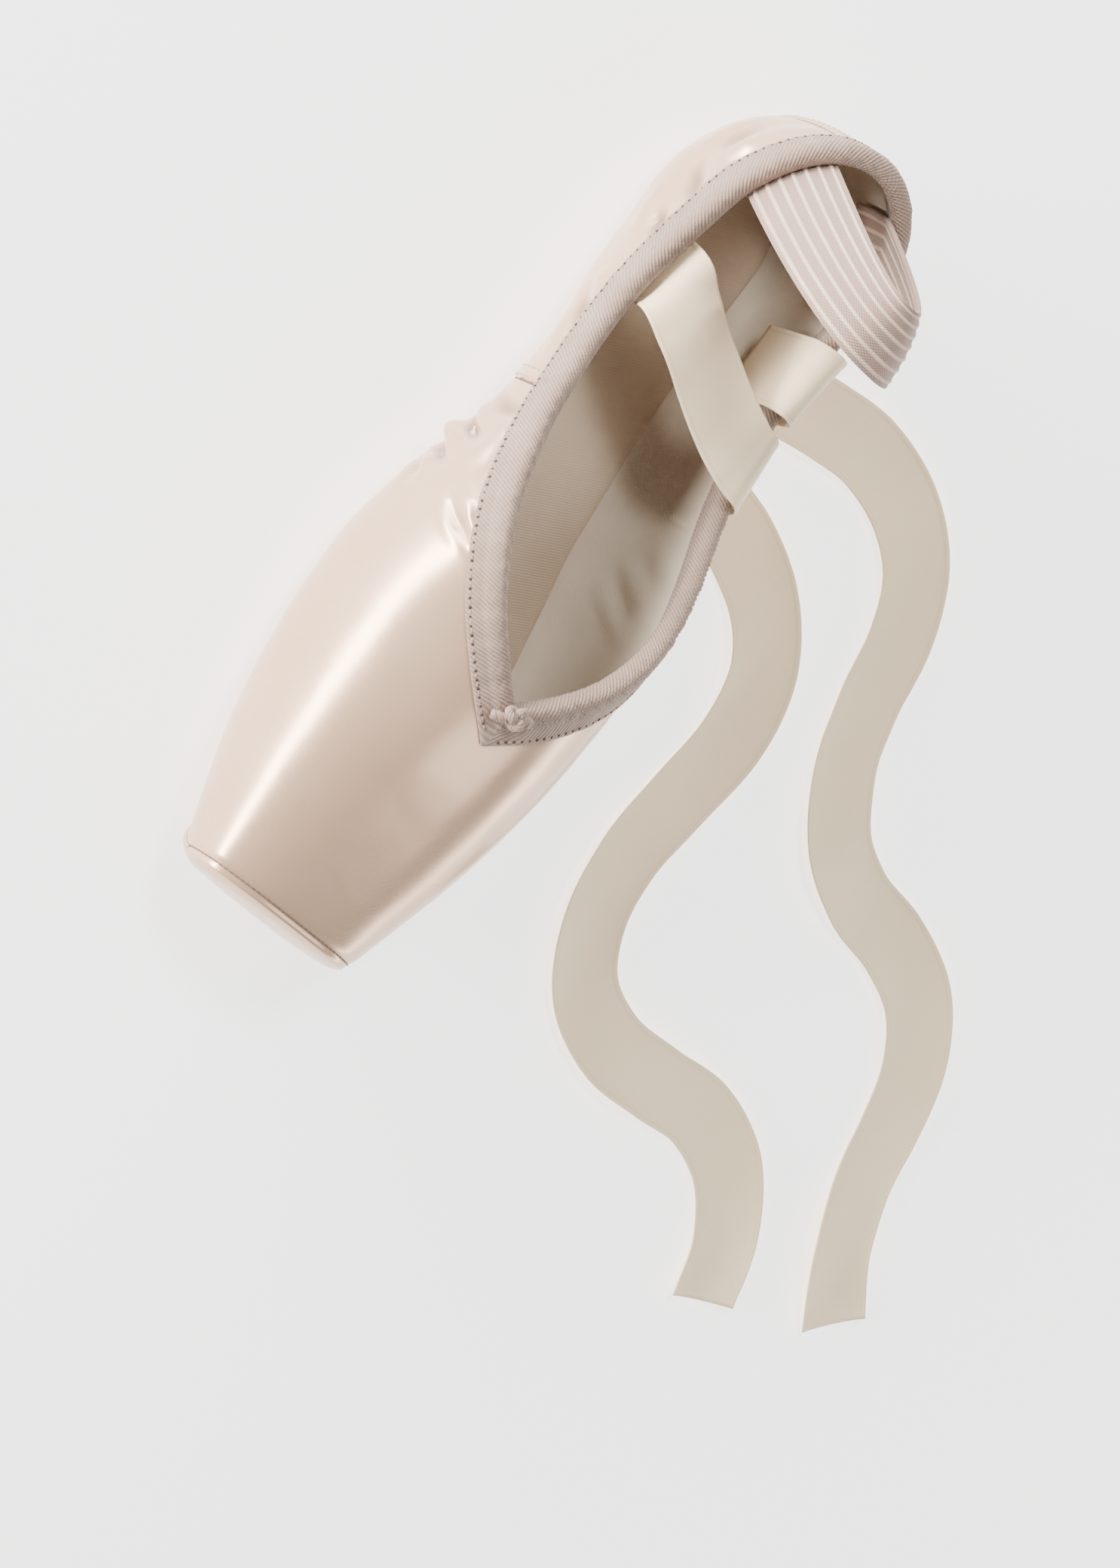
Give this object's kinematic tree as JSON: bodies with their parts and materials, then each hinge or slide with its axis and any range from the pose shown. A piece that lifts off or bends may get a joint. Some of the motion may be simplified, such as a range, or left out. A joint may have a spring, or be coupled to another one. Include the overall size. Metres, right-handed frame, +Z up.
{
  "type": "pointe shoe",
  "caption": "Straight-lasted pointe shoe with a hollow satin upper, waisted leather outsole, drawstring collar, ankle elastic and tying ribbons.",
  "frame": {"origin": "centre of the shoe's box on the floor, ribbons and knot left out", "axes": "+X to the toe, +Y to the shoe's left side, +Z up"},
  "size_m": [0.2648, 0.3058, 0.099],
  "materials": {
    "sole_leather": "brown split leather, engraved cross-hatch",
    "satin": "glossy ivory-pink satin",
    "insole_board": "matt lined board",
    "twill_tape": "matt diagonal twill",
    "elastic": "ribbed elastic",
    "ribbon": "semi-matt ribbon"
  },
  "bodies": {
    "root": {"outsole": "sole_leather", "upper": "satin", "insole": "insole_board", "collar_binding": "twill_tape", "heel_strip": "satin", "toe_tip": "satin", "elastic_band": "elastic", "drawstring_knot": "twill_tape", "ribbon_right": "ribbon", "ribbon_left": "ribbon"}
  },
  "joints": []
}
